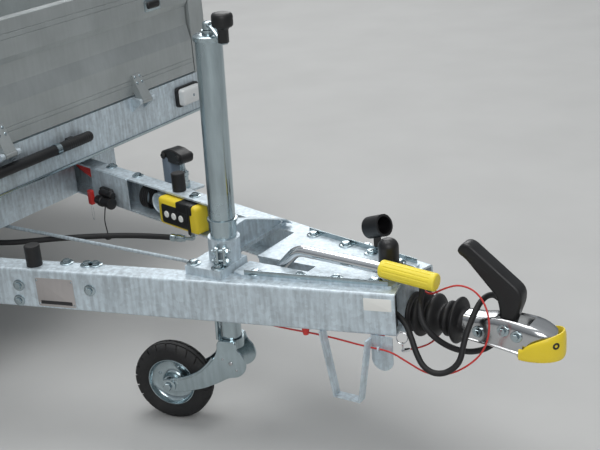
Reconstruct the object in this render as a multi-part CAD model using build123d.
from build123d import *
import math
import os

# Tandem-axle tipper trailer with drop sides. Millimetres.
# +X forward (drawbar), +Y the trailer's left, +Z up, ground at Z 0.
# A "setback" is a distance behind the front ends of the two drawbar legs.

# Overall layout
coupling_reach = 345.0
bed_setback = 1240.0
bed_length = 3200.0
bed_width = 1860.0
hinge_overhang = 140.0
ram_reach = 1200.0
overall_length = coupling_reach + bed_setback + bed_length
legs_front_x = overall_length / 2 - coupling_reach
bed_front_x = legs_front_x - bed_setback
bed_rear_x = bed_front_x - bed_length
ram_setback = bed_setback + bed_length - hinge_overhang - ram_reach
touch_gap = 0.3
running_gap = 0.05

# Drawbar legs: C-channels, open towards the centre line
leg_top_z = 415.0
leg_height = 100.0
leg_flange = 55.0
leg_wall = 5.0
leg_angle = 14.0
leg_front_half_spread = 90.0
leg_length = 1880.0
leg_corner = 7.0

# Chassis rails and cross members
rail_outer_y = 555.0
rail_flange = 50.0
rail_wall = 4.0
rail_slip = 1.0
rail_front_setback = 1357.0
cross_tube_width = 60.0
cross_setbacks = (rail_front_setback + 30, ram_setback - 970, ram_setback - 270, ram_setback + 540)
pad_height = 36.0
pad_length = 90.0
pad_setbacks = (bed_setback + 320, ram_setback - 620, ram_setback + 460)

# Tipping hinge and bed frame
hinge_z = 450.0
hinge_pin_radius = 12.0
hinge_boss_radius = 25.0
hinge_ear = 10.0
bed_frame_bottom_z = 452.0
bed_frame_top_z = 580.0
bed_frame_flange = 40.0
bed_frame_wall = 4.0
floor_thickness = 4.0
bearer_width = 46.0
bearer_top_z = 546.0
floor_rib_width = 60.0
floor_rib_count = 7
hinge_x = bed_rear_x + hinge_overhang

# Drop sides
board_height = 330.0
board_thickness = 30.0
board_seam = 6.0
board_recess = 12.0
board_end_gap = 5.0
post_width = 72.0
post_depth = 60.0
front_hinge_offset = 30.0
side_hinge_offset = 14.0
board_pin_z = 568.0
board_pin_radius = 5.0
board_knuckle_radius = 9.0
knuckle_length = 40.0
tail_pin_z = 895.0
tail_pin_radius = 8.0
tail_pin_x = bed_rear_x + board_thickness / 2
board_bottom_z = bed_frame_top_z + board_seam
cross_board_length = bed_width - 2 * post_width - 2 * board_end_gap
side_board_length = bed_length - 2 * post_width - 2 * board_end_gap
bed_middle_x = (bed_front_x + bed_rear_x) / 2
buffer_height = 52.0
buffer_setback = 872.0

# Road wheels and axles
tyre_radius = 262.5
tyre_width = 195.0
rim_radius = 168.0
rim_width = 150.0
rim_wall = 5.0
wheel_outer_y = 860.0
wheel_setbacks = (ram_setback - 400, ram_setback + 320)
arm_reach = 165.0
axle_tube = 80.0
axle_tube_z = 268.0
hub_radius = 32.0
hub_bore_radius = 20.0
hand_holes = 12
hand_hole_radius = 10.0
drum_radius = 118.0
guard_gap = 15.0
guard_wall = 3.0
guard_web_z = 330.0

# Telescopic ram
ram_base_z = 228.0
ram_eye_z = 540.0
ram_barrel_radius = 60.0
ram_barrel_bottom = 26.0
ram_barrel_length = 256.0
ram_stage_wall = 6.0
ram_stage_gap = 0.3
ram_pin_radius = 12.0
ram_eye_radius = 21.0
ram_stages = 4
ram_x = hinge_x + ram_reach

# Coupling and overrun device
draw_z = 337.0
draw_radius = 25.0
housing_length = 385.0
ball_radius = 25.0
ball_x = legs_front_x + 272.0
housing_core_half = 32.0
plate_thickness = 6.0
bellows_length = 130.0
bellows_radius = 52.0
handle_pivot_x = legs_front_x + 222
handle_pivot_z = 350.0
handle_half_width = 19.0

# Head sections: distance ahead of the legs, half width, top, bottom, corner radius
head_sections = (
    (150.0, 30.0, 357.0, 307.0, 14.0),
    (190.0, 32.0, 366.0, 300.0, 16.0),
    (235.0, 37.0, 371.0, 298.0, 18.0),
    (272.0, 43.0, 370.0, 296.0, 22.0),
    (305.0, 40.0, 360.0, 294.0, 22.0),
    (328.0, 27.0, 346.0, 297.0, 16.0),
    (337.0, 16.0, 336.0, 302.0, 12.0),
)
head_wall = 4.0
dock_wall = 7.7
dock_ball_gap = 4.0
cup_wall = 7.0
cup_rim_z = 288.0
cup_z = 314.0

# Lighting lead, its plug, and the breakaway cable
lead_radius = 6.5
cable_radius = 2.0
plug_x = legs_front_x - 62.0
plug_y = 4.0
plug_radius = 23.0
plug_height = 78.0
plug_foot_z = leg_top_z + plate_thickness + touch_gap
lead_end_x = plug_x + plug_radius + 8.0
lead_end_z = plug_foot_z + 17.0

# Handbrake lever and brake rod
lever_x = legs_front_x - 360
lever_y = -50.0
lever_z = 365.0
lever_radius = 13.0
grip_end_wall = 8.0
grip_radius = 20.0
grip_flutes = 14
brake_rod_y = 95.0
brake_rod_z = 302.0
hose_radius = 8.0
hose_z = 281.0

# Jockey wheel
jockey_setback = 450.0
jockey_y = -100.0
jockey_top_z = 948.0
jockey_outer_radius = 30.0
jockey_outer_wall = 3.0
jockey_inner_radius = 25.0
jockey_outer_bottom_z = 398.0
jockey_bush_length = 40.0
jockey_wheel_radius = 100.0
jockey_wheel_width = 50.0
jockey_trail = 160.0
jockey_lean = 2.0
jockey_tread_half = 11.0
jockey_tube_foot_z = 235.0
jockey_rim_radius = 62.0
fork_disc_radius = 40.0
fork_disc_z = 177.0
fork_plate = 6.0
crank_reach_x = 63.0
crank_reach_y = -30.0
crank_drop = 25.0
crank_grip_radius = 23.0
jockey_x = legs_front_x - jockey_setback
jockey_lean_sine = math.sin(math.radians(jockey_lean))
jockey_camber_lift = jockey_tread_half * jockey_lean_sine * math.sin(math.radians(leg_angle))
jockey_trail_lift = jockey_trail * math.cos(math.radians(leg_angle)) * jockey_lean_sine
jockey_axle_z = (jockey_wheel_radius + jockey_camber_lift - jockey_trail_lift) / math.cos(
    math.radians(jockey_lean)
)


def block(x_range, y_range, z_range):
    """A box from its low and high limits along each axis."""
    size = [limits[1] - limits[0] for limits in (x_range, y_range, z_range)]
    middle = [(limits[0] + limits[1]) / 2 for limits in (x_range, y_range, z_range)]
    return Pos(*middle) * Box(*size)


def rod_y(radius, x, z, y_range):
    """A round bar along Y."""
    length = y_range[1] - y_range[0]
    return Pos(x, (y_range[0] + y_range[1]) / 2, z) * Rot(90, 0, 0) * Cylinder(radius, length)


def rod_x(radius, y, z, x_range):
    """A round bar along X."""
    length = x_range[1] - x_range[0]
    return Pos((x_range[0] + x_range[1]) / 2, y, z) * Rot(0, 90, 0) * Cylinder(radius, length)


def outline_xz(points, y_range):
    """A plate cut to an outline in the XZ plane, between two Y limits."""
    face = make_face(Plane.XZ * Polyline(*points, close=True))
    solid = extrude(face, y_range[1] - y_range[0], dir=(0, 1, 0))
    return Pos(0, y_range[0], 0) * solid


def mirrored(solid):
    """The same piece on the other side of the trailer."""
    return mirror(solid, Plane.XZ)


def both_sides(solid):
    """A piece and its mirror image as one group of solids."""
    return Compound([*solid.solids(), *mirrored(solid).solids()])


def leg_envelope(grow=0.0):
    """The left leg's full rectangular bar, placed on its line."""
    bar = Box(leg_length + 2 * grow, leg_flange, leg_height)
    bar = Pos(-leg_length / 2, -leg_flange / 2, leg_top_z - leg_height / 2) * bar
    turned = Rot(0, 0, -leg_angle) * bar
    return Pos(legs_front_x, leg_front_half_spread, 0) * turned


def drawbar_leg():
    """The left leg: a channel with rounded outer corners, square cut in front."""
    bar = Box(leg_length, leg_flange, leg_height)
    bar = Pos(-leg_length / 2, -leg_flange / 2, leg_top_z - leg_height / 2) * bar
    outer_edges = bar.edges().filter_by(Axis.X).group_by(Axis.Y)[-1]
    bar = fillet(outer_edges, leg_corner)
    hollow_width = leg_flange - leg_wall
    hollow = Box(leg_length + 2, hollow_width + 2, leg_height - 2 * leg_wall)
    hollow = Pos(-leg_length / 2, -leg_wall - hollow_width / 2 - 1, leg_top_z - leg_height / 2) * hollow
    channel = bar - hollow
    return Pos(legs_front_x, leg_front_half_spread, 0) * Rot(0, 0, -leg_angle) * channel


def chassis_rail():
    """The left rail with its rubber rest pads, open towards the centre line."""
    front = legs_front_x - rail_front_setback
    rear = hinge_x - 20.0
    low = leg_top_z - leg_height - rail_wall - rail_slip
    high = leg_top_z + rail_wall + rail_slip
    outer = block((rear, front), (rail_outer_y - rail_flange, rail_outer_y), (low, high))
    inner = block(
        (rear - 1, front + 1),
        (rail_outer_y - rail_flange - 1, rail_outer_y - rail_wall),
        (low + rail_wall, high - rail_wall),
    )
    rail = outer - inner
    for setback in pad_setbacks:
        middle = legs_front_x - setback
        pad = block(
            (middle - pad_length / 2, middle + pad_length / 2),
            (rail_outer_y - rail_flange + 5, rail_outer_y - 5),
            (high, high + pad_height - touch_gap),
        )
        rail += pad
    return rail


def cross_members():
    """Cross tubes between the rails; the front two pass round the drawbar legs."""
    low = leg_top_z - leg_height
    inner_y = rail_outer_y - rail_wall
    members = []
    for setback in cross_setbacks:
        middle = legs_front_x - setback
        half = cross_tube_width / 2
        tube = block((middle - half, middle + half), (-inner_y, inner_y), (low, leg_top_z))
        bore = block(
            (middle - half + 4, middle + half - 4), (-inner_y - 1, inner_y + 1), (low + 4, leg_top_z - 4)
        )
        tube -= bore
        if setback < leg_length:
            tube -= leg_envelope()
            tube -= mirrored(leg_envelope())
        members.append(tube)
    rear = block(
        (hinge_x + 35, hinge_x + 35 + cross_tube_width), (-inner_y, inner_y), (low, leg_top_z)
    )
    members.append(rear)
    return members


def ram_cradle():
    """Two hanging cheeks between the middle cross tubes, with the ram's base pin."""
    low = leg_top_z - leg_height
    cradle_front = legs_front_x - cross_setbacks[2] - cross_tube_width / 2
    cradle_rear = legs_front_x - cross_setbacks[3] + cross_tube_width / 2
    cheek = outline_xz(
        (
            (cradle_rear, low + 25),
            (ram_x - 70, low + 25),
            (ram_x - 35, ram_base_z - 22),
            (ram_x + 35, ram_base_z - 22),
            (ram_x + 70, low + 25),
            (cradle_front, low + 25),
            (cradle_front, leg_top_z),
            (cradle_rear, leg_top_z),
        ),
        (70, 78),
    )
    pin = rod_y(ram_pin_radius, ram_x, ram_base_z, (-78, 78))
    return cheek + mirrored(cheek) + pin


def rear_hinge():
    """Ears on the chassis with the pins that the bed turns on."""
    low = leg_top_z - leg_height
    shape = (
        (hinge_x + 35, low),
        (hinge_x + 35, leg_top_z + 5),
        (hinge_x + 18, hinge_z + 25),
        (hinge_x - 18, hinge_z + 25),
        (hinge_x - 24, hinge_z),
        (hinge_x - 20, low),
    )
    outer = outline_xz(shape, (rail_outer_y, rail_outer_y + hinge_ear))
    inner_y = rail_outer_y - rail_flange
    inner = outline_xz(shape, (inner_y - hinge_ear, inner_y))
    pin = rod_y(hinge_pin_radius, hinge_x, hinge_z, (inner_y - 14, rail_outer_y + 14))
    side = outer + inner + pin
    return both_sides(side)


def axle(setback):
    """A rubber-sprung axle: tube, mounting feet, trailing arms, stubs and brake plates."""
    wheel_x = legs_front_x - setback
    tube_x = wheel_x + arm_reach
    half = axle_tube / 2
    bar_end = 600.0
    tube_height = (axle_tube_z - half, axle_tube_z + half)
    tube = block((tube_x - half, tube_x + half), (-bar_end, bar_end), tube_height)
    tube = fillet(tube.edges().filter_by(Axis.Y), 10)
    low = leg_top_z - leg_height - rail_wall - rail_slip
    foot = block(
        (tube_x - 70, tube_x + 70),
        (rail_outer_y - rail_flange, rail_outer_y),
        (axle_tube_z + half - 12, low),
    )
    arm_y = (bar_end, bar_end + 30)
    arm = rod_y(40, tube_x, axle_tube_z, arm_y)
    arm += rod_y(30, wheel_x, tyre_radius, arm_y)
    arm += outline_xz(
        (
            (tube_x, axle_tube_z + 38),
            (wheel_x, tyre_radius + 29),
            (wheel_x, tyre_radius - 29),
            (tube_x, axle_tube_z - 38),
        ),
        arm_y,
    )
    plate_y = wheel_outer_y - tyre_width + 12
    stub = rod_y(hub_bore_radius - running_gap, wheel_x, tyre_radius, (arm_y[1], wheel_outer_y - 60))
    plate = rod_y(drum_radius, wheel_x, tyre_radius, (plate_y - 6, plate_y))
    collar = rod_y(34, wheel_x, tyre_radius, (arm_y[1] - 1, plate_y))
    side = foot + arm + stub + plate + collar
    return tube + side + mirrored(side)


def tyre():
    """A low-profile tyre turned about Y, open at the beads."""
    half = tyre_width / 2
    bead_half = rim_width / 2
    with BuildPart() as body:
        with BuildSketch(Plane.XY):
            with BuildLine():
                crown = ThreePointArc(
                    (tyre_radius - 3, -half + 22), (tyre_radius, 0), (tyre_radius - 3, half - 22)
                )
                right = ThreePointArc(
                    crown @ 1, (tyre_radius - 10, half - 8), (tyre_radius - 24, half - 4)
                )
                wall = ThreePointArc(
                    right @ 1, (rim_radius + 40, half), (rim_radius, bead_half)
                )
                bead = Line(wall @ 1, (rim_radius, -bead_half))
                wall2 = ThreePointArc(bead @ 1, (rim_radius + 40, -half), (tyre_radius - 24, -half + 4))
                ThreePointArc(wall2 @ 1, (tyre_radius - 10, -half + 8), crown @ 0)
            make_face()
        revolve(axis=Axis.Y)
    return body.part


def rim():
    """Pressed steel wheel and brake drum, turned about Y, outer side at +Y."""
    half = rim_width / 2
    outer = rim_radius
    well = rim_radius - 22
    section = (
        (outer, half),
        (outer, half - 12),
        (well, half - 40),
        (well, -half + 40),
        (outer, -half + 12),
        (outer, -half),
        (outer - rim_wall, -half),
        (well - rim_wall, -half + 40),
        (well - rim_wall, half - 60),
        (104, half - 30),
        (64, half - 40),
        (drum_radius - 50, half - 50),
        (drum_radius, half - 62),
        (drum_radius, -half + 20),
        (hub_bore_radius, -half + 20),
        (hub_bore_radius, half - 18),
        (hub_radius, half - 18),
        (hub_radius + 6, half - 30),
        (62, half - 32),
        (100, half - 22),
        (well - rim_wall, half - 46),
        (outer - rim_wall, half - 10),
        (outer - rim_wall, half),
    )
    face = make_face(Plane.XY * Polyline(*section, close=True))
    wheel = revolve(face, axis=Axis.Y)
    for i in range(hand_holes):
        turn = Rot(0, 360 * i / hand_holes, 0)
        wheel -= turn * rod_y(hand_hole_radius, 86, 0, (half - 48, half))
    return wheel


def place_wheel(solid, setback, side):
    """Puts a wheel piece on its stub; side is 1 on the left and -1 on the right."""
    middle_y = wheel_outer_y - tyre_width / 2
    placed = Pos(legs_front_x - setback, middle_y, tyre_radius) * solid
    return placed if side > 0 else mirrored(placed)


def mudguard():
    """The left tandem guard: an arch over each wheel joined by a flat web."""
    inner_radius = tyre_radius + guard_gap
    outer_radius = inner_radius + guard_wall
    y_range = (wheel_outer_y - tyre_width - 10, wheel_outer_y + 10)
    cut_z = tyre_radius + 30.0
    shells = None
    for setback in wheel_setbacks:
        x = legs_front_x - setback
        shell = rod_y(outer_radius, x, tyre_radius, y_range)
        shells = shell if shells is None else shells + shell
    for setback in wheel_setbacks:
        x = legs_front_x - setback
        shells -= rod_y(inner_radius, x, tyre_radius, (y_range[0] - 1, y_range[1] + 1))
    low = block((-9000, 9000), (0, 2000), (-500, cut_z))
    guard = shells - low
    middle_x = legs_front_x - sum(wheel_setbacks) / 2
    half_gap = (wheel_setbacks[1] - wheel_setbacks[0]) / 2 - inner_radius + 20
    web_height = (guard_web_z, guard_web_z + guard_wall)
    web = block((middle_x - half_gap, middle_x + half_gap), y_range, web_height)
    cut_width = (y_range[0] - 1, y_range[1] + 1)
    for setback in wheel_setbacks:
        web -= rod_y(inner_radius + 1, legs_front_x - setback, tyre_radius, cut_width)
    stay = block(
        (middle_x - 20, middle_x + 20), (rail_outer_y, y_range[0] + 60), (guard_web_z - 6, guard_web_z)
    )
    return guard + web + stay


def board_section():
    """The extruded board's section: (out, up) from the lower outer corner."""
    t = -board_thickness
    r = -board_recess
    return (
        (0, 0),
        (0, 29.5), (-1.5, 31), (0, 32.5),
        (0, 42.5), (-1.5, 44), (0, 45.5),
        (0, 104),
        (r, 153),
        (r, 210),
        (0, 228),
        (0, 273.5), (-1.5, 275), (0, 276.5),
        (0, 288.5), (-1.5, 290), (0, 291.5),
        (0, board_height - 3),
        (-3, board_height),
        (t + 3, board_height),
        (t, board_height - 3),
        (t, 0),
    )


def board(length):
    """A drop side along Y, its outer face at X 0 and its lower edge at Z 0."""
    face = make_face(Plane.XZ * Polyline(*board_section(), close=True))
    solid = extrude(face, length, dir=(0, 1, 0))
    return Pos(0, -length / 2, 0) * solid


def knuckle_places(length, count):
    """Middles of a board's hinges along it."""
    return [length * ((i + 0.5) / count - 0.5) for i in range(count)]


def hinge_straps(length, count, offset):
    """Straps on the board that reach down to the pin, in the board's own frame."""
    drop = board_pin_z - bed_frame_top_z - board_seam
    straps = []
    for y in knuckle_places(length, count):
        y_range = (y - knuckle_length / 2, y + knuckle_length / 2)
        outline = ((0, 8), (0, 60), (4, 60), (offset + 6, drop + 8), (offset - 6, drop - 6))
        arm = outline_xz(outline, y_range)
        arm += rod_y(board_knuckle_radius, offset, drop, y_range)
        arm -= rod_y(board_pin_radius + running_gap, offset, drop, (y_range[0] - 1, y_range[1] + 1))
        straps.append(arm)
    return straps


def hinge_brackets(length, count, offset):
    """Frame-side knuckles and pins, in the same frame as hinge_straps."""
    drop = board_pin_z - bed_frame_top_z - board_seam
    frame_drop = -board_seam
    brackets = []
    for y in knuckle_places(length, count):
        inner = knuckle_length / 2 + 2
        outer = inner + 14
        bracket = rod_y(board_pin_radius, offset, drop, (y - outer, y + outer))
        for sign in (-1, 1):
            y_range = sorted((y + sign * inner, y + sign * outer))
            ear = outline_xz(
                ((0, frame_drop - 45), (0, frame_drop - 2), (offset, drop + 9), (offset, drop - 9)), y_range
            )
            ear += rod_y(board_knuckle_radius, offset, drop, y_range)
            bracket += ear
        brackets.append(bracket)
    return brackets


def to_front(solid):
    """From a board's own frame to the bed's front end."""
    return Pos(bed_front_x, 0, board_bottom_z) * solid


def to_left(solid):
    """From a board's own frame to the bed's left side."""
    return Pos(bed_middle_x, bed_width / 2, board_bottom_z) * Rot(0, 0, 90) * solid


def joined(first, others):
    """One solid from a first one and the pieces welded to it."""
    total = first
    for other in others:
        total = total + other
    return total


def front_board():
    """Front board with its three hinge straps."""
    piece = joined(board(cross_board_length), hinge_straps(cross_board_length, 3, front_hinge_offset))
    return to_front(piece)


def left_board():
    """Left side board with its five hinge straps."""
    piece = joined(board(side_board_length), hinge_straps(side_board_length, 5, side_hinge_offset))
    return to_left(piece)


def tailgate():
    """Hung from pins in the rear posts at its upper corners."""
    piece = Pos(bed_rear_x, 0, board_bottom_z) * Rot(0, 0, 180) * board(cross_board_length)
    for sign in (-1, 1):
        start = sign * (cross_board_length / 2 - 30)
        end = sign * (bed_width / 2 - post_width / 2)
        y_range = sorted((start, end))
        piece += rod_y(tail_pin_radius, tail_pin_x, tail_pin_z, y_range)
    return piece


def bed_frame():
    """The bed's rim of C-profiles with the board hinges' brackets."""
    outer = block(
        (bed_rear_x, bed_front_x), (-bed_width / 2, bed_width / 2), (bed_frame_bottom_z, bed_frame_top_z)
    )
    wall = bed_frame_wall
    inner = block(
        (bed_rear_x + wall, bed_front_x - wall),
        (-bed_width / 2 + wall, bed_width / 2 - wall),
        (bed_frame_bottom_z + wall, bed_frame_top_z - wall),
    )
    through = block(
        (bed_rear_x + bed_frame_flange, bed_front_x - bed_frame_flange),
        (-bed_width / 2 + bed_frame_flange, bed_width / 2 - bed_frame_flange),
        (bed_frame_bottom_z - 1, bed_frame_top_z + 1),
    )
    frame = outer - inner - through
    frame = joined(frame, [to_front(b) for b in hinge_brackets(cross_board_length, 3, front_hinge_offset)])
    lefts = [to_left(b) for b in hinge_brackets(side_board_length, 5, side_hinge_offset)]
    frame = joined(frame, lefts)
    frame = joined(frame, [mirrored(b) for b in lefts])
    return frame


def bed_bearers():
    """Two long bearers on the rails' pads, hinge lugs, floor ribs and the ram's cheeks."""
    wall = bed_frame_wall
    middle_y = rail_outer_y - rail_flange / 2
    low = leg_top_z + rail_wall + rail_slip + pad_height
    inside_front = bed_front_x - wall
    inside_rear = bed_rear_x + wall
    bearer = block(
        (inside_rear, inside_front),
        (middle_y - bearer_width / 2, middle_y + bearer_width / 2),
        (low, bearer_top_z),
    )
    lug = block((hinge_x - 25, hinge_x + 25), (middle_y - 15, middle_y + 15), (hinge_z, low + 5))
    lug += rod_y(hinge_boss_radius, hinge_x, hinge_z, (middle_y - 15, middle_y + 15))
    bearer += lug
    bearer -= rod_y(hinge_pin_radius + running_gap, hinge_x, hinge_z, (middle_y - 40, middle_y + 40))
    body = bearer + mirrored(bearer)
    rib_low = bearer_top_z
    rib_high = bed_frame_top_z - floor_thickness
    inside_y = bed_width / 2 - bed_frame_flange
    for i in range(floor_rib_count):
        x = bed_rear_x + bed_length * (i + 0.5) / floor_rib_count
        rib_length = (x - floor_rib_width / 2, x + floor_rib_width / 2)
        rib = block(rib_length, (-inside_y, inside_y), (rib_low, rib_high))
        body += rib
    beam_inner = ram_barrel_radius + 12
    beam_outer = beam_inner + 30
    inner_y = middle_y - bearer_width / 2
    for sign in (-1, 1):
        x_range = sorted((ram_x + sign * beam_inner, ram_x + sign * beam_outer))
        body += block(x_range, (-inner_y, inner_y), (bearer_top_z - 50, rib_high))
        y_range = sorted((sign * 24, sign * 34))
        cheek = outline_xz(
            (
                (ram_x - beam_inner, rib_high),
                (ram_x + beam_inner, rib_high),
                (ram_x + beam_inner, ram_eye_z + 22),
                (ram_x + 16, ram_eye_z - 19),
                (ram_x - 16, ram_eye_z - 19),
                (ram_x - beam_inner, ram_eye_z + 22),
            ),
            y_range,
        )
        body += cheek
    return body


def bed_floor():
    """Floor sheet between the rim's flanges, cut out round the posts."""
    floor = block(
        (bed_rear_x + bed_frame_flange, bed_front_x - bed_frame_flange),
        (-bed_width / 2 + bed_frame_flange, bed_width / 2 - bed_frame_flange),
        (bed_frame_top_z - floor_thickness, bed_frame_top_z),
    )
    reach_x = post_depth + touch_gap
    reach_y = bed_width / 2 - post_width - touch_gap
    for x_range in ((bed_front_x - reach_x, bed_front_x), (bed_rear_x, bed_rear_x + reach_x)):
        for y_range in ((reach_y, bed_width / 2), (-bed_width / 2, -reach_y)):
            floor -= block(x_range, y_range, (bed_frame_top_z - 2 * floor_thickness, bed_frame_top_z + 1))
    return floor


def corner_posts():
    """Four posts, each an angle round its corner of the bed."""
    posts = []
    high = board_bottom_z + board_height
    for front in (True, False):
        for side in (-1, 1):
            x = bed_front_x if front else bed_rear_x
            inward = -1 if front else 1
            x_range = sorted((x, x + inward * post_depth))
            y = side * bed_width / 2
            y_range = sorted((y, y - side * post_width))
            post = block(x_range, y_range, (bed_frame_top_z, high))
            if not front:
                bore_y = (y_range[0] - 1, y_range[1] + 1)
                post -= rod_y(tail_pin_radius + running_gap, tail_pin_x, tail_pin_z, bore_y)
            posts.append(post)
    return posts


def on_leg(solid):
    """Places a piece given in the left leg's own frame: X along it, Y 0 at its outer face."""
    return Pos(legs_front_x, leg_front_half_spread, 0) * Rot(0, 0, -leg_angle) * solid


def overrun_housing():
    """Cast core between the legs under a top plate that is bolted to both flanges."""
    front = legs_front_x - 5
    rear = front - housing_length
    core_height = (draw_z - 42, leg_top_z + plate_thickness)
    core = block((rear, front), (-housing_core_half, housing_core_half), core_height)
    core = fillet(core.edges().filter_by(Axis.X), 8)
    core -= rod_x(draw_radius + running_gap, 0, draw_z, (front - 300, front + 1))
    plate_outline = (
        (front - 15, -66),
        (front - 15, 66),
        (rear + 30, 142),
        (rear, 132),
        (rear, -132),
        (rear + 30, -142),
    )
    plate = extrude(make_face(Plane.XY * Polyline(*plate_outline, close=True)), plate_thickness)
    plate = Pos(0, 0, leg_top_z) * plate
    slot = block(
        (lever_x - 70, lever_x + 130), (lever_y - 18, lever_y + 14), (leg_top_z - 1, leg_top_z + 20)
    )
    return core + plate - slot


def bellows():
    """Rubber boot over the draw shaft: pleats that shrink towards the head."""
    start = legs_front_x - 5 + touch_gap
    pleats = 5
    pitch = bellows_length / pleats
    points = [(0, draw_radius + 0.5)]
    for i in range(pleats):
        x = i * pitch
        tip = bellows_radius - 3.0 * i
        root = tip - 9
        points += [(x, root), (x + 0.35 * pitch, tip), (x + 0.65 * pitch, tip), (x + pitch, root)]
    points += [(bellows_length, draw_radius + 0.5)]
    face = make_face(Plane.XZ * Polyline(*points, close=True))
    return Pos(start, 0, draw_z) * revolve(face, axis=Axis.X)


def head_form(grow, drop):
    """The head's outer form, pushed out by one value and let down by another."""
    faces = []
    for reach, half, top, bottom, radius in head_sections:
        width = 2 * (half + grow)
        height = top - bottom + 2 * grow + drop
        middle = (top + bottom - drop) / 2
        plane = Plane(origin=(legs_front_x + reach + grow, 0, middle), x_dir=(0, 1, 0), z_dir=(1, 0, 0))
        faces += (plane * RectangleRounded(width, height, radius + grow / 2)).faces()
    return loft(faces, ruled=True)


def coupling_head():
    """Draw shaft and pressed head, open below, with its ball cup and the handle's pin."""
    shaft = rod_x(draw_radius, 0, draw_z, (legs_front_x - 290, legs_front_x + 195))
    cup_radius = ball_radius + 0.3
    cup_outer = cup_radius + cup_wall
    cup = Pos(ball_x, 0, (cup_rim_z + cup_z) / 2) * Cylinder(cup_outer, cup_z - cup_rim_z)
    cup += Pos(ball_x, 0, cup_z) * Sphere(cup_outer)
    seat = block((ball_x - 46, ball_x + 50), (-60, 60), (cup_rim_z + 9, cup_rim_z + 15))
    rear = block((legs_front_x + 152, legs_front_x + 196), (-40, 40), (draw_z - 22, draw_z + 12))
    hollow = head_form(-head_wall, 60) - cup - seat - rear
    rim = Pos(ball_x, 0, cup_rim_z + 8) * Cylinder(cup_outer, 16)
    head = head_form(0, 0) - hollow + rim + shaft
    head -= Pos(ball_x, 0, cup_z) * Sphere(cup_radius)
    head -= Pos(ball_x, 0, cup_z - 30) * Cylinder(cup_radius, 60)
    slot_y = handle_half_width + 1.5
    x = handle_pivot_x
    z = handle_pivot_z
    slot = outline_xz(
        (
            (x - 26, z - 16),
            (x + 12, z - 16),
            (x + 20, z - 8),
            (x + 54, z + 17),
            (x + 54, z + 60),
            (x - 26, z + 60),
        ),
        (-slot_y, slot_y),
    )
    pin = rod_y(5, x, z, (-34, 34))
    return head - slot + pin


def soft_dock():
    """Rubber bumper round the head's nose, cut low behind and high in front."""
    x = legs_front_x
    band = head_form(dock_wall, 0) - head_form(touch_gap, 0)
    outline = ((x + 262, 288), (x + 262, 322), (x + 340, 366), (x + 360, 366), (x + 360, 288))
    keep = outline_xz(outline, (-70, 70))
    opening = Pos(ball_x, 0, cup_rim_z) * Cylinder(ball_radius + cup_wall + dock_ball_gap, 40)
    return (band & keep) - opening


def coupling_handle():
    """Moulded L-shaped lever that turns on the head's pin."""
    x = handle_pivot_x
    z = handle_pivot_z
    y_range = (-handle_half_width, handle_half_width)
    arm = outline_xz(
        (
            (x - 13, z),
            (x + 13, z),
            (x + 34, z + 58),
            (x + 35, z + 78),
            (x + 28, z + 92),
            (x - 79, z + 174),
            (x - 96, z + 175),
            (x - 110, z + 158),
            (x - 104, z + 148),
            (x - 90, z + 140),
            (x - 22, z + 66),
            (x - 16, z + 42),
        ),
        y_range,
    )
    arm = chamfer(arm.edges().filter_by(Axis.Y, reverse=True), 5)
    handle = arm + rod_y(13, x, z, y_range)
    return handle - rod_y(5 + running_gap, x, z, (-60, 60))


def lever_path():
    """The handbrake tube's centre line, from its pivot to the grip's end."""
    x = legs_front_x
    return (
        (lever_x, lever_y, lever_z),
        (x - 266, lever_y, 461),
        (x - 62, lever_y, 453),
        (x + 82, lever_y, 441),
    )


def handbrake_lever():
    """Bent tube on a sector plate that turns about a pin in the housing's side."""
    start, bend, grip_start, end = [Vector(*p) for p in lever_path()]
    end = end - (end - grip_start).normalized() * grip_end_wall
    route = FilletPolyline(start, bend, grip_start, end, radius=45)
    tube = sweep(Plane(origin=start, z_dir=(bend - start)) * Circle(lever_radius), path=route)
    hub = rod_y(20, lever_x, lever_z, (lever_y - lever_radius - 2, lever_y + lever_radius + 2))
    return tube + hub - rod_y(8 + running_gap, lever_x, lever_z, (lever_y - 30, lever_y + 30))


def lever_pin():
    """The handbrake's pivot pin, fixed in the housing's side."""
    return rod_y(8, lever_x, lever_z, (lever_y - 20, -housing_core_half))


def handbrake_grip():
    """Hand grip over the tube's front end, with flutes along it and a rounded end."""
    points = lever_path()
    end = Vector(*points[3])
    start = Vector(*points[2]) + (end - Vector(*points[2])).normalized() * 10
    length = (end - start).length
    grip = Cylinder(grip_radius, length, align=(Align.CENTER, Align.CENTER, Align.MIN))
    grip = fillet(grip.edges().filter_by(GeomType.CIRCLE), 5)
    flute = Pos(grip_radius + 1.2, 0, length / 2) * Cylinder(2.4, length - 24)
    for i in range(grip_flutes):
        grip -= Rot(0, 0, 360 * i / grip_flutes) * flute
    grip -= Pos(0, 0, length / 2 - grip_end_wall) * Cylinder(lever_radius, length)
    return Plane(origin=start, z_dir=(end - start)).location * grip


def jockey_place(solid):
    """From the jockey leg's own frame (Z along the tube from the ground) to the trailer."""
    return Pos(jockey_x, jockey_y, 0) * Rot(0, jockey_lean, 0) * solid


def jockey_outer_tube():
    """Outer tube with its cap and the lifting lug that its clamp rests under."""
    low = jockey_outer_bottom_z
    length = jockey_top_z - low
    tube = Pos(0, 0, low + length / 2) * Cylinder(jockey_outer_radius, length)
    bore = Cylinder(jockey_outer_radius - jockey_outer_wall, length)
    tube -= Pos(0, 0, low + length / 2 - jockey_outer_wall) * bore
    bush = Cylinder(jockey_outer_radius - 1, jockey_bush_length)
    bush -= Cylinder(jockey_inner_radius + running_gap, jockey_bush_length + 2)
    tube += Pos(0, 0, low + jockey_bush_length / 2) * bush
    cap = Pos(0, 0, jockey_top_z + 3) * Cylinder(jockey_outer_radius + 3, 6)
    collar = Pos(0, 0, jockey_top_z + 6 + 6) * Cylinder(14, 12)
    return jockey_place(tube + cap + collar)


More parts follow.
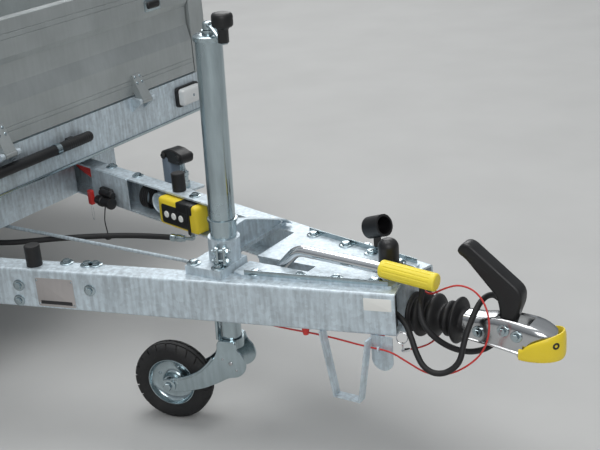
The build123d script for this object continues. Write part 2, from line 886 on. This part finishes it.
def jockey_crank():
    """Crank arm that slopes down from the screw's head, with a stem and a wide grip on its end."""
    base = jockey_top_z + 18 + touch_gap
    hub = Pos(0, 0, base + 9) * Cylinder(11, 18)
    reach = math.hypot(crank_reach_x, crank_reach_y)
    turn = math.degrees(math.atan2(crank_reach_y, crank_reach_x))
    arm = outline_xz(
        (
            (0, base + 6),
            (0, base + 13),
            (20, base + 13),
            (reach, base + 13 - crank_drop),
            (reach + 8, base + 13 - crank_drop),
            (reach + 8, base + 6 - crank_drop),
            (reach - 6, base + 6 - crank_drop),
        ),
        (-7, 7),
    )
    arm = Rot(0, 0, turn) * arm
    foot = base + 9 - crank_drop
    stem = Pos(crank_reach_x, crank_reach_y, foot + 18) * Cylinder(12, 36)
    grip = Pos(crank_reach_x, crank_reach_y, foot + 34 + 15) * Cylinder(crank_grip_radius, 30)
    top = grip.edges().filter_by(GeomType.CIRCLE).group_by(Axis.Z)[-1]
    grip = fillet(top, 7)
    return jockey_place(hub + arm + stem + grip)


def jockey_inner_tube():
    """Inner tube that slides in the outer one, with the boss its fork turns on."""
    low = jockey_tube_foot_z
    high = 700.0
    outer = jockey_inner_radius
    tube = Pos(0, 0, (low + high) / 2) * Cylinder(outer, high - low)
    tube -= Pos(0, 0, (low + high) / 2 + 12) * Cylinder(outer - 3, high - low)
    pivot = Pos(0, 0, low - 15) * Cylinder(12, 30)
    return jockey_place(tube + pivot)


def jockey_fork():
    """Fork that turns on the tube's foot: round cheeks, arms back to the wheel, and the axle."""
    top = jockey_tube_foot_z - touch_gap
    plate_y = jockey_wheel_width / 2 + 5
    crown = Pos(0, 0, top - 12) * Cylinder(30, 24)
    crown += block((-34, 34), (-plate_y - 1, plate_y + 1), (top - 24, top))
    crown -= Pos(0, 0, top - 12) * Cylinder(12 + running_gap, 40)
    fork = crown
    disc_x = 8.0
    for sign in (-1, 1):
        y_range = sorted((sign * plate_y, sign * (plate_y + fork_plate)))
        arm = outline_xz(
            (
                (-34, top),
                (34, top),
                (34, fork_disc_z + 20),
                (40, fork_disc_z - 24),
                (0, fork_disc_z - 62),
                (-80, jockey_axle_z - 18),
                (-140, jockey_axle_z - 20),
                (-158, jockey_axle_z - 22),
                (-158, jockey_axle_z + 22),
                (-110, jockey_axle_z + 36),
                (-55, fork_disc_z - 6),
            ),
            y_range,
        )
        arm += rod_y(fork_disc_radius, disc_x, fork_disc_z, y_range)
        arm += rod_y(22, -jockey_trail, jockey_axle_z, y_range)
        fork += arm
    fork += rod_y(8, -jockey_trail, jockey_axle_z, (-plate_y - 7, plate_y + 7))
    return jockey_place(Rot(0, 0, leg_angle) * fork)


def place_jockey_wheel(solid):
    """From the jockey wheel's own centre to its place in the fork."""
    return jockey_place(Rot(0, 0, leg_angle) * Pos(-jockey_trail, 0, jockey_axle_z) * solid)


def jockey_tyre():
    """Solid rubber tyre, turned about Y."""
    tyre_solid = rod_y(jockey_wheel_radius, 0, 0, (-jockey_wheel_width / 2, jockey_wheel_width / 2))
    shoulder = jockey_wheel_width / 2 - jockey_tread_half
    tyre_solid = fillet(tyre_solid.edges().filter_by(GeomType.CIRCLE), shoulder)
    tyre_solid -= rod_y(jockey_rim_radius, 0, 0, (-60, 60))
    return place_jockey_wheel(tyre_solid)


def jockey_rim():
    """Pressed zinc rim with its hub."""
    half = jockey_wheel_width / 2 - 6
    section = (
        (jockey_rim_radius, half),
        (jockey_rim_radius, -half),
        (jockey_rim_radius - 4, -half),
        (jockey_rim_radius - 8, -4),
        (20, -4),
        (20, -half - 4),
        (8 + running_gap, -half - 4),
        (8 + running_gap, half + 4),
        (20, half + 4),
        (20, 4),
        (jockey_rim_radius - 8, 4),
        (jockey_rim_radius - 4, half),
    )
    face = make_face(Plane.XY * Polyline(*section, close=True))
    return place_jockey_wheel(revolve(face, axis=Axis.Y))


def jockey_bracket():
    """Clamp round the outer tube, on a foot and a web bolted across both legs."""
    middle = legs_front_x - jockey_setback + 15
    plate = block((middle - 60, middle - 14), (-170, 175), (leg_top_z, leg_top_z + 8))
    ring = jockey_place(Pos(0, 0, 462) * Cylinder(jockey_outer_radius + 7, 56))
    foot = block((middle - 60, middle + 40), (-175, jockey_y + 30), (leg_top_z, leg_top_z + 20))
    web_face = Plane.YZ * Polyline(
        (jockey_y + 20, leg_top_z + 4),
        (jockey_y + 20, leg_top_z + 84),
        (jockey_y + 80, leg_top_z + 84),
        (150, leg_top_z + 22),
        (172, leg_top_z + 4),
        close=True,
    )
    web = Pos(middle - 22, 0, 0) * extrude(make_face(web_face), 8)
    bracket = plate + foot + ring + web
    bracket -= jockey_place(Pos(0, 0, 500) * Cylinder(jockey_outer_radius + running_gap, 400))
    return bracket - housing_keep_out()


def housing_keep_out():
    """The room the overrun housing's core and top plate fill."""
    front = legs_front_x - 5
    length = (front - housing_length, front)
    top = leg_top_z + plate_thickness
    core = block(length, (-housing_core_half, housing_core_half), (draw_z - 42, top))
    plate = block(length, (-152, 152), (leg_top_z - 1, top))
    return core + plate


def rubber_buffers():
    """Stops for the lowered front board, one on each leg, and the lead's grommet in the right leg."""
    buffer = Pos(0, 0, leg_top_z + buffer_height / 2) * Cylinder(19, buffer_height)
    top = buffer.edges().filter_by(GeomType.CIRCLE).group_by(Axis.Z)[-1]
    buffer = fillet(top, 3)
    y = leg_front_half_spread + buffer_setback * math.tan(math.radians(leg_angle)) - leg_flange / 2 - 1
    pair = both_sides(Pos(legs_front_x - buffer_setback, y, 0) * buffer)
    return Compound([*pair.solids(), *lead_grommet().solids()])


def lead_grommet():
    """Rubber plug in the right leg's mouth that the lighting lead comes out of."""
    low = leg_top_z - leg_height + leg_wall
    plug = block((-30, -8), (-leg_flange + 8, -leg_wall), (low, leg_top_z - leg_wall))
    plug = mirrored(on_leg(plug))
    start, second = [Vector(*p) for p in lead_route()[:2]]
    way = (second - start).normalized()
    return plug - Plane(origin=start, z_dir=way).location * Cylinder(lead_radius, 100)


def lead_route():
    """Points of the lighting lead: out of the right leg, round the head's neck, to its plug."""
    x = legs_front_x
    return (
        (x - 20, -62, 360),
        (x + 12, -72, 350),
        (x + 36, -90, 324),
        (x + 54, -104, 296),
        (x + 74, -112, 270),
        (x + 102, -113, 260),
        (x + 129, -104, 266),
        (x + 150, -90, 288),
        (x + 151, -74, 324),
        (x + 156, -55, 360),
        (x + 165, -18, 402),
        (x + 173, 20, 404),
        (x + 182, 52, 378),
        (x + 188, 62, 340),
        (x + 186, 50, 300),
        (x + 170, 18, 276),
        (x + 142, -22, 276),
        (x + 114, -58, 298),
        (x + 88, -82, 328),
        (x + 62, -88, 360),
        (x + 46, -64, 390),
        (x + 36, -32, 403),
        (x + 24, -6, 425),
        (x, plug_y, lead_end_z),
        (lead_end_x, plug_y, lead_end_z),
    )


def cable_route():
    """Points of the breakaway cable: from its eye, through the ring, round the bellows."""
    x = legs_front_x
    return (
        (x - 352, -130, 305),
        (x - 290, -124, 297),
        (x - 180, -105, 291),
        (x - 60, -107, 286),
        (x - 10, -106, 288),
        (x + 30, -102, 268),
        (x + 78, -98, 246),
        (x + 126, -92, 254),
        (x + 170, -86, 284),
        (x + 200, -80, 320),
        (x + 212, -74, 366),
        (x + 202, -64, 412),
        (x + 172, -52, 440),
        (x + 130, -44, 444),
        (x + 90, -38, 424),
        (x + 56, -30, 400),
        (x + 24, -4, 394),
        (x + 14, 32, 390),
        (x + 20, 62, 368),
        (x + 34, 68, 326),
        (x + 44, 54, 284),
        (x + 40, 14, 268),
        (x + 28, -30, 268),
        (x + 16, -72, 280),
    )


def cord_radii(route):
    """Arc radii as large as each corner's two runs allow."""
    points = [Vector(*p) for p in route]
    radii = []
    for before, corner, after in zip(points, points[1:], points[2:]):
        turn = math.radians((corner - before).get_angle(after - corner))
        shorter = min((corner - before).length, (after - corner).length)
        radii.append(0.45 * shorter / math.tan(turn / 2))
    return radii


def cord_tube(route, radius):
    """A round cord along straight runs joined by tangent arcs."""
    path = FilletPolyline(*route, radius=cord_radii(route))
    start, second = [Vector(*p) for p in route[:2]]
    return sweep(Plane(origin=start, z_dir=second - start) * Circle(radius), path=path)


def lead_plug():
    """The lead's plug, parked upright on the housing's plate."""
    body = Cylinder(plug_radius, plug_height, align=(Align.CENTER, Align.CENTER, Align.MIN))
    body = fillet(body.edges().group_by(Axis.Z)[-1], plug_radius - 4)
    body = Pos(plug_x, plug_y, plug_foot_z) * body
    return body + rod_x(lead_radius + 3, plug_y, lead_end_z, (plug_x, lead_end_x))


def hydraulic_line():
    """Hose from the power pack to its elbow at the left leg, with crimped ends."""
    x = legs_front_x
    route = (
        (x - 1416.7, 20, hose_z),
        (x - 1366, 20, hose_z),
        (x - 1296, 46, hose_z + 2),
        (x - 1200, 106, hose_z + 6),
        (x - 1080, 172, hose_z + 8),
        (x - 960, 222, hose_z + 8),
        (x - 850, 244, hose_z + 8),
    )
    hose = cord_tube(route, hose_radius)
    end = Vector(*route[-1])
    way = (end - Vector(*route[-2])).normalized()
    crimp = Plane(origin=end - way * 36, z_dir=way).location * Cylinder(
        11, 40, align=(Align.CENTER, Align.CENTER, Align.MIN)
    )
    pipe_end = end + way * 34
    pipe = Plane(origin=end, z_dir=way).location * Cylinder(
        5, 34, align=(Align.CENTER, Align.CENTER, Align.MIN)
    )
    rise = Pos(pipe_end.X, pipe_end.Y, pipe_end.Z) * Sphere(6)
    low = leg_top_z - leg_height
    rise += Pos(pipe_end.X, pipe_end.Y, low - 14) * Cylinder(5, 28)
    return hose + crimp + pipe + rise


def hand_pump():
    """Emergency hand pump outside the left leg, on its own bracket."""
    body = Pos(0, 0, 0) * block((-55, 55), (0, 110), (372, 378))
    body += block((-50, 50), (0, 6), (330, 378))
    reservoir = Pos(18, 62, 378) * Cylinder(27, 78, align=(Align.CENTER, Align.CENTER, Align.MIN))
    ram = Pos(-32, 62, 378) * Cylinder(13, 84, align=(Align.CENTER, Align.CENTER, Align.MIN))
    outline = ((-55, 450), (-50, 472), (-15, 494), (42, 484), (50, 464), (30, 444), (-40, 438))
    head = outline_xz(outline, (36, 88))
    body = body + reservoir + ram + head
    place = Pos(legs_front_x, leg_front_half_spread, 0) * Rot(0, 0, -leg_angle) * Pos(-1010, 0, 0)
    return place * body


def battery_switch():
    """Switch block with its red key, on the cover plate in the left leg's mouth."""
    plate = block((-1290, -1105), (-leg_flange - 3, -leg_flange), (leg_top_z - 98, leg_top_z - 2))
    body = Pos(-1195, -leg_flange - 3 - 18, 345) * Rot(90, 0, 0) * Cylinder(26, 36)
    key = block((-1204, -1186), (-leg_flange - 75, -leg_flange - 39), (322, 362))
    return on_leg(plate + body + key)


def remote_control():
    """Hand control clipped in the left leg's mouth."""
    shell = block((-945, -760), (-leg_flange - 22, -leg_flange + 22), (leg_top_z - 92, leg_top_z - 8))
    shell = fillet(shell.edges().filter_by(Axis.Y), 14)
    web = block((-900, -800), (-leg_flange + 22, -leg_wall), (350, 380))
    return on_leg(shell + web)


def plug_holder():
    """Parking socket on a bent strip, bolted to the left leg's top flange."""
    strip = on_leg(block((-205, -150), (-28, -6), (leg_top_z, leg_top_z + 3)))
    strip += on_leg(block((-153, -150), (-28, -6), (leg_top_z, leg_top_z + 45)))
    place = Pos(-150, -17, leg_top_z + 61) * Rot(0, 70, 0)
    cup = strip + on_leg(place * Cylinder(26, 50))
    return cup - on_leg(place * Pos(0, 0, 6 + 50) * Cylinder(21, 144))


def parking_strap():
    """Bent strip under the right leg's front end, and the rounded tab whose eye guides the cable."""
    low = leg_top_z - leg_height
    x = legs_front_x
    outer = outline_xz(((x - 170, low), (x - 143, 158), (x - 75, 158), (x - 48, low)), (-135, -112))
    inner = outline_xz(((x - 165, low + 1), (x - 139, 162), (x - 79, 162), (x - 53, low + 1)), (-136, -111))
    strap = outer - inner
    tab = block((x - 58, x - 6), (-100, -96), (258, low))
    tab += rod_y(26, x - 32, 258, (-100, -96))
    before, after = [Vector(*p) for p in cable_route()[3:5]]
    eye = Plane(origin=(before + after) / 2, z_dir=(after - before)).location
    tab += eye * Cylinder(7, 4)
    tab -= eye * Cylinder(cable_radius, 40)
    return Compound([*strap.solids(), *tab.solids()])


def power_pack():
    """Pump and tank housing under the bed's front."""
    x = legs_front_x
    box = block((x - 1780, x - 1440), (-260, 70), (255, 405))
    box = fillet(box.edges().filter_by(Axis.Z), 20)
    tray = block((x - 1800, x - 1417), (-240, 50), (251, 255))
    front = block((x - 1421, x - 1417), (-240, 50), (251, 400))
    return box + tray + front


def lamp_bar():
    """Rear lamp carrier hung under the chassis' rear end."""
    low = leg_top_z - leg_height - rail_wall - rail_slip
    bar = block((hinge_x - 20, hinge_x + 10), (-870, 870), (238, low))
    hanger = block((hinge_x + 10, hinge_x + 95), (505, 555), (low - 8, low))
    plate = block((hinge_x - 24, hinge_x - 20), (-260, 260), (225, low - 5))
    return bar + hanger + mirrored(hanger) + plate


def tail_lamps():
    """Two tail lamps on the carrier's ends."""
    lamp = block((hinge_x - 62, hinge_x - 20), (640, 860), (218, 318))
    lamp = fillet(lamp.edges().filter_by(Axis.X), 10)
    return both_sides(lamp)


def brake_rod():
    """Brake rod from the housing, past the pump, to the front axle's tube."""
    front = legs_front_x - 5 - housing_length
    rear = legs_front_x - wheel_setbacks[0] + arm_reach + axle_tube / 2
    route = FilletPolyline(
        (front, 0, brake_rod_z),
        (front - 130, 0, brake_rod_z),
        (front - 330, brake_rod_y, brake_rod_z),
        (rear, brake_rod_y, brake_rod_z),
        radius=60,
    )
    return sweep(Plane(origin=(front, 0, brake_rod_z), z_dir=(-1, 0, 0)) * Circle(5), path=route)


def marker_lamps():
    """White marker lamps on the front of the bed."""
    lamp = block((bed_front_x, bed_front_x + 34), (742, 852), (492, 556))
    lamp = fillet(lamp.edges().filter_by(Axis.X), 10)
    return both_sides(lamp)


def pump_lever():
    """The pump's lever, stowed in two clips across the front of the bed."""
    x = bed_front_x + 20
    bar = rod_y(15, x, 526, (-280, 322))
    bar = fillet(bar.edges().filter_by(GeomType.CIRCLE), 6)
    for y in (-200, 250):
        bar += block((bed_front_x, x), (y - 12, y + 12), (512, 540))
    return bar


def ram_barrel():
    """Barrel with its base eye."""
    bottom = ram_base_z + ram_barrel_bottom
    tube = Pos(ram_x, 0, bottom + ram_barrel_length / 2) * Cylinder(ram_barrel_radius, ram_barrel_length)
    bore = ram_barrel_radius - ram_stage_wall
    tube -= Pos(ram_x, 0, bottom + ram_barrel_length / 2 + 10) * Cylinder(bore, ram_barrel_length)
    eye = rod_y(ram_pin_radius + 13, ram_x, ram_base_z, (-60, 60))
    eye += block((ram_x - 26, ram_x + 26), (-40, 40), (ram_base_z, bottom))
    eye -= rod_y(ram_pin_radius + running_gap, ram_x, ram_base_z, (-61, 61))
    return tube + eye


def ram_stage(index):
    """Telescope tube number index, counted from the barrel; the last one is the rod."""
    bottom = ram_base_z + ram_barrel_bottom + 10 + touch_gap * index
    top = ram_base_z + ram_barrel_bottom + ram_barrel_length
    outer = ram_barrel_radius - index * ram_stage_wall - index * ram_stage_gap
    length = top - bottom
    tube = Pos(ram_x, 0, bottom + length / 2) * Cylinder(outer, length)
    if index < ram_stages:
        tube -= Pos(ram_x, 0, bottom + length / 2) * Cylinder(outer - ram_stage_wall, length + 2)
    else:
        neck = Pos(ram_x, 0, (top + ram_eye_z) / 2) * Cylinder(16, ram_eye_z - top)
        eye = rod_y(ram_eye_radius, ram_x, ram_eye_z, (-23, 23))
        tube = tube + neck + eye
    return tube


def pieces():
    """Every piece of the trailer by its name."""
    made = {
        "drawbar_leg_left": drawbar_leg(),
        "drawbar_leg_right": mirrored(drawbar_leg()),
        "chassis_rails": both_sides(chassis_rail()),
        "cross_members": Compound(cross_members()),
        "ram_cradle": ram_cradle(),
        "rear_hinge": rear_hinge(),
        "axles": Compound([axle(setback).solid() for setback in wheel_setbacks]),
        "mudguards": both_sides(mudguard()),
        "overrun_housing": overrun_housing() + lever_pin(),
        "coupling_bellows": bellows(),
        "coupling_head": coupling_head(),
        "soft_dock": soft_dock(),
        "coupling_handle": coupling_handle(),
        "handbrake_lever": handbrake_lever(),
        "handbrake_grip": handbrake_grip(),
        "jockey_outer_tube": jockey_outer_tube(),
        "jockey_bracket": jockey_bracket(),
        "jockey_crank": jockey_crank(),
        "jockey_inner_tube": jockey_inner_tube(),
        "jockey_fork": jockey_fork(),
        "jockey_tyre": jockey_tyre(),
        "jockey_rim": jockey_rim(),
        "rubber_buffers": rubber_buffers(),
        "hand_pump": hand_pump(),
        "battery_switch": battery_switch(),
        "remote_control": remote_control(),
        "plug_holder": plug_holder(),
        "parking_strap": parking_strap(),
        "power_pack": power_pack(),
        "lamp_bar": lamp_bar(),
        "tail_lamps": tail_lamps(),
        "brake_rod": brake_rod(),
        "lead_plug": lead_plug(),
        "plug_lead": cord_tube(lead_route(), lead_radius),
        "breakaway_cable": cord_tube(cable_route(), cable_radius),
        "hydraulic_line": hydraulic_line(),
        "bed_frame": bed_frame(),
        "bed_bearers": bed_bearers(),
        "bed_floor": bed_floor(),
        "corner_posts": Compound(corner_posts()),
        "marker_lamps": marker_lamps(),
        "pump_lever": pump_lever(),
        "front_board": front_board(),
        "side_board_left": left_board(),
        "side_board_right": mirrored(left_board()),
        "tailgate": tailgate(),
        "ram_barrel": ram_barrel(),
    }
    wheel_tyre = tyre()
    wheel_rim = rim()
    for name, setback in zip(("front", "rear"), wheel_setbacks):
        for side_name, side in (("left", 1), ("right", -1)):
            made[f"tyre_{name}_{side_name}"] = place_wheel(wheel_tyre, setback, side)
            made[f"rim_{name}_{side_name}"] = place_wheel(wheel_rim, setback, side)
    for index in range(1, ram_stages + 1):
        name = "ram_rod" if index == ram_stages else f"ram_stage_{index}"
        made[name] = ram_stage(index)
    return made


os.makedirs("parts", exist_ok=True)
for node, solid in pieces().items():
    export_step(solid, f"parts/{node}.step")
print(f"ball cup at x {ball_x:.1f}, hinge at x {hinge_x:.1f}, ram at x {ram_x:.1f}")
for name, route in (("lead", lead_route()), ("cable", cable_route())):
    print(name, "radii", [round(radius) for radius in cord_radii(route)])
